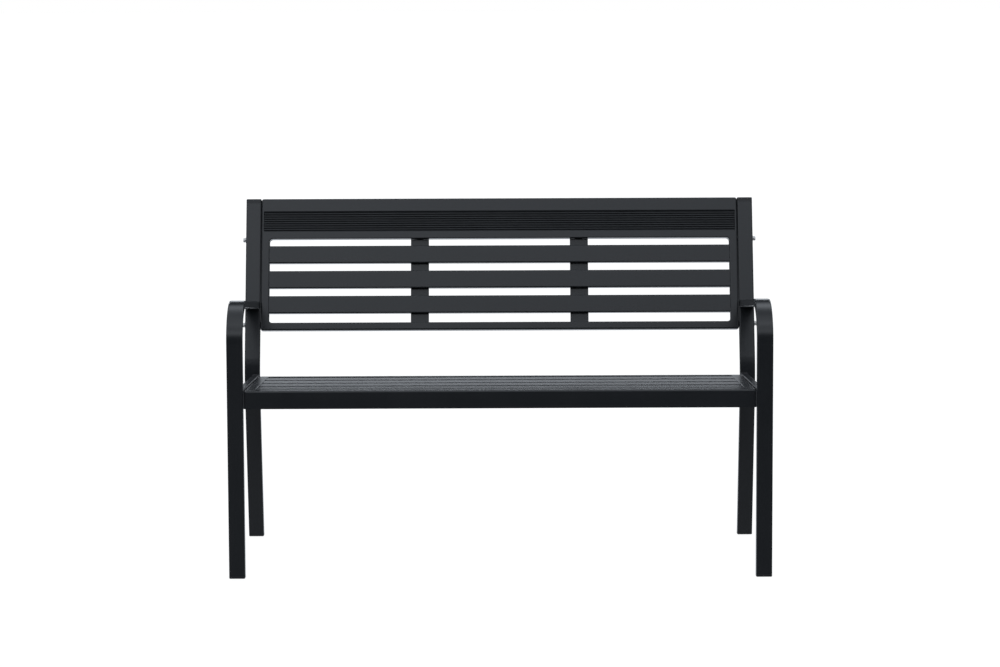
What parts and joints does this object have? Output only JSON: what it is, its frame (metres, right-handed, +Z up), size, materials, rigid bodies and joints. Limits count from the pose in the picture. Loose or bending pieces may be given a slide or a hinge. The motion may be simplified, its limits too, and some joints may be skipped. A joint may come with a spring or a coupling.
{
  "type": "patio loveseat",
  "caption": "Steel patio loveseat bench with a slatted seat, a leaning slatted back under a reeded band, and bent tube legs that run on into the arms.",
  "frame": {"origin": "on the ground under the middle of the bench's overall width and depth", "axes": "+Z up, -Y the way the sitter faces, +X along the bench to the right of someone who looks at its front"},
  "size_m": [1.265, 0.5538, 0.8372],
  "materials": {
    "frame_paint": "anthracite satin powder coat",
    "seat_paint": "anthracite semi-gloss powder coat",
    "end_plastic": "moulded black-grey plastic",
    "fastener_zinc": "zinc plated"
  },
  "bodies": {
    "root": {"back_bolts": "fastener_zinc", "back_frame": "frame_paint", "back_lock_washers": "fastener_zinc", "back_nuts": "fastener_zinc", "back_slat_bottom": "frame_paint", "back_slat_middle": "frame_paint", "back_slat_top": "frame_paint", "back_spacers": "fastener_zinc", "back_washers": "fastener_zinc", "left_arm_leg": "frame_paint", "left_back_strap": "frame_paint", "left_front_foot": "end_plastic", "left_post_cap": "end_plastic", "left_rear_foot": "end_plastic", "left_rear_post": "frame_paint", "left_seat_bearer": "frame_paint", "left_seat_strap": "seat_paint", "reeded_band": "frame_paint", "right_arm_leg": "frame_paint", "right_back_strap": "frame_paint", "right_front_foot": "end_plastic", "right_post_cap": "end_plastic", "right_rear_foot": "end_plastic", "right_rear_post": "frame_paint", "right_seat_bearer": "frame_paint", "right_seat_strap": "seat_paint", "seat_bolts": "fastener_zinc", "seat_frame": "seat_paint", "seat_lock_washers": "fastener_zinc", "seat_nuts": "fastener_zinc", "seat_slat_front": "seat_paint", "seat_slat_rear": "seat_paint", "seat_slat_second": "seat_paint", "seat_slat_third": "seat_paint", "seat_spacers": "fastener_zinc", "seat_washers": "fastener_zinc"}
  },
  "joints": []
}
